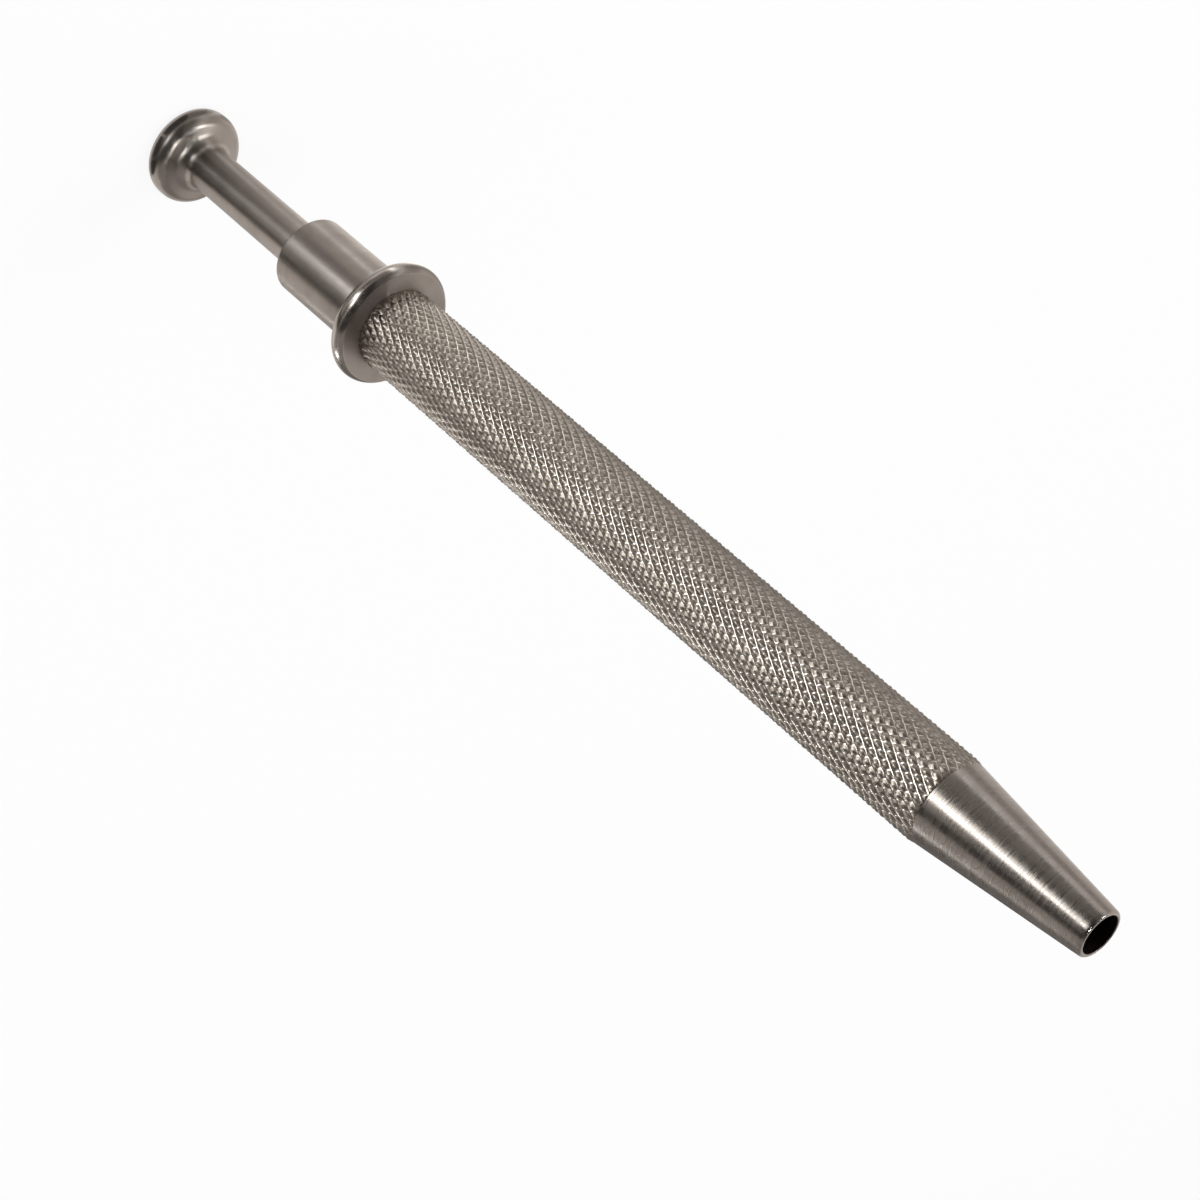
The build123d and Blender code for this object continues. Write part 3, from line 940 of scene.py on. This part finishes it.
def lamp(name, azimuth, elevation, distance, size, level):
    """A soft square lamp aimed at the tool's middle. level is its brightness, where 1 is white."""
    data = bpy.data.lights.new(name, "AREA")
    data.shape, data.size, data.size_y = "RECTANGLE", size, size
    data.energy = level * math.pi * size**2
    thing = bpy.data.objects.new(name, data)
    out = Vector(towards(azimuth, elevation))
    thing.location = Vector(MIDDLE) + out * distance
    thing.rotation_euler = out.to_track_quat("Z", "Y").to_euler()
    bpy.context.scene.collection.objects.link(thing)
    thing.visible_camera = thing.visible_glossy = False


def set_camera(scene):
    """The photograph's camera."""
    data = bpy.data.cameras.new("camera")
    data.lens, data.sensor_width = LENS, SENSOR
    data.clip_start, data.clip_end = 0.01, 20.0
    camera = bpy.data.objects.new("camera", data)
    camera.matrix_world = Matrix(CAMERA_PLACE)
    scene.collection.objects.link(camera)
    scene.camera = camera


def lay_floor(colour, whiteness):
    """A plain floor, 5 m square, which looks white and still takes the tool's shadow."""
    across = np.linspace(-2.5, 2.5, 21)
    x, y = np.meshgrid(across, across)
    floor = sheet("floor", np.stack((x, y, np.zeros_like(x)), 2))
    f = Finish("white_floor", Base_Color=rgba(colour), Roughness=0.9, Specular_IOR_Level=0.1)
    glow = f.add("Emission").outputs[0]
    look = f.mixed(f.white_where_seen(whiteness), f.shader.outputs[0], glow)
    f.feed(f.tree.nodes["Material Output"].inputs["Surface"], look)
    floor.data.materials.append(f.material)


def light_room(scene, sky):
    """An even light from all round, and plain white where the room itself is seen."""
    world = bpy.data.worlds.new("white_room")
    world.use_nodes = True
    scene.world = world
    n = Nodes(world.node_tree)
    even = n.tree.nodes["Background"]
    n.feed(even.inputs["Color"], (1.0, 1.0, 1.0, 1.0))
    n.feed(even.inputs["Strength"], sky)
    white = n.add("Background").outputs[0]
    look = n.mixed(n.white_where_seen(1.0), even.outputs[0], white)
    n.feed(n.tree.nodes["World Output"].inputs["Surface"], look)


class PICKUP_OT_stage(bpy.types.Operator):
    """Set the camera, the white floor, the lamps and the cards."""

    bl_idname = "pickup.stage"
    bl_label = "Studio"

    def execute(self, context):
        scene = context.scene
        s = scene.pickup_studio
        scene.view_settings.view_transform = "Standard"
        set_camera(scene)
        lay_floor(s.floor, s.floor_whiteness)
        light_room(scene, s.sky)
        lamp("key_lamp", -25, 72, 0.6, 0.22, s.key_level)
        lamp("side_lamp", 107, 65, 0.6, 0.22, s.fill_level)
        lamp("soft_lamp", 150, 50, 0.9, 0.5, s.soft_level)
        key, grey = np.array(s.key_tint), np.array(s.card_tint)
        surround({"key": key, "grey": grey})
        canopy("dark_canopy", -95, 62, -8, 98, 0.04, grey, 12)
        canopy("overhead_canopy", 50, 275, 42, 102, 0.05, grey, 16)
        canopy("grey_canopy", 50, 118, -8, 58, 0.34, grey, 20)
        canopy("back_canopy", 100, 275, -8, 60, 0.5, grey, 8)
        strip_light("overhead_strip", -35, 76, 180, 4, 9, 75.0, key)
        strip_light("side_strip", 108, 60, -147, 5, 9, 75.0, key)
        return {"FINISHED"}


class PICKUP_PT_panel(bpy.types.Panel):
    """The tool's pieces and studio, one button each."""

    bl_idname = "PICKUP_PT_panel"
    bl_label = "Pick-up tool"
    bl_space_type = "VIEW_3D"
    bl_region_type = "UI"
    bl_category = "Pick-up tool"

    def draw(self, context):
        for group, operator in STEPS:
            self.layout.operator(operator.bl_idname)
            settings = getattr(context.scene, group)
            for name in SETTINGS[group].__annotations__:
                self.layout.prop(settings, name)


SETTINGS = {
    "pickup_plunger": PlungerSizes,
    "pickup_collar": CollarSizes,
    "pickup_knurl": KnurlSizes,
    "pickup_nose": NoseSizes,
    "pickup_prongs": ProngSizes,
    "pickup_spring": SpringSizes,
    "pickup_finishes": Finishes,
    "pickup_studio": StudioSettings,
}
STEPS = (
    ("pickup_studio", PICKUP_OT_stage),
    ("pickup_plunger", PICKUP_OT_button_and_stem),
    ("pickup_collar", PICKUP_OT_collar),
    ("pickup_knurl", PICKUP_OT_barrel),
    ("pickup_nose", PICKUP_OT_nose),
    ("pickup_prongs", PICKUP_OT_prongs),
    ("pickup_spring", PICKUP_OT_return_spring),
    ("pickup_finishes", PICKUP_OT_inner_parts),
)


def register():
    for name, group in SETTINGS.items():
        bpy.utils.register_class(group)
        setattr(bpy.types.Scene, name, bpy.props.PointerProperty(type=group))
    for _, operator in STEPS:
        bpy.utils.register_class(operator)
    bpy.utils.register_class(PICKUP_PT_panel)


def unregister():
    bpy.utils.unregister_class(PICKUP_PT_panel)
    for _, operator in reversed(STEPS):
        bpy.utils.unregister_class(operator)
    for name, group in reversed(SETTINGS.items()):
        delattr(bpy.types.Scene, name)
        bpy.utils.unregister_class(group)


def main():
    register()
    for _, operator in STEPS:
        category, name = operator.bl_idname.split(".")
        getattr(getattr(bpy.ops, category), name)()


if __name__ == "__main__":
    main()
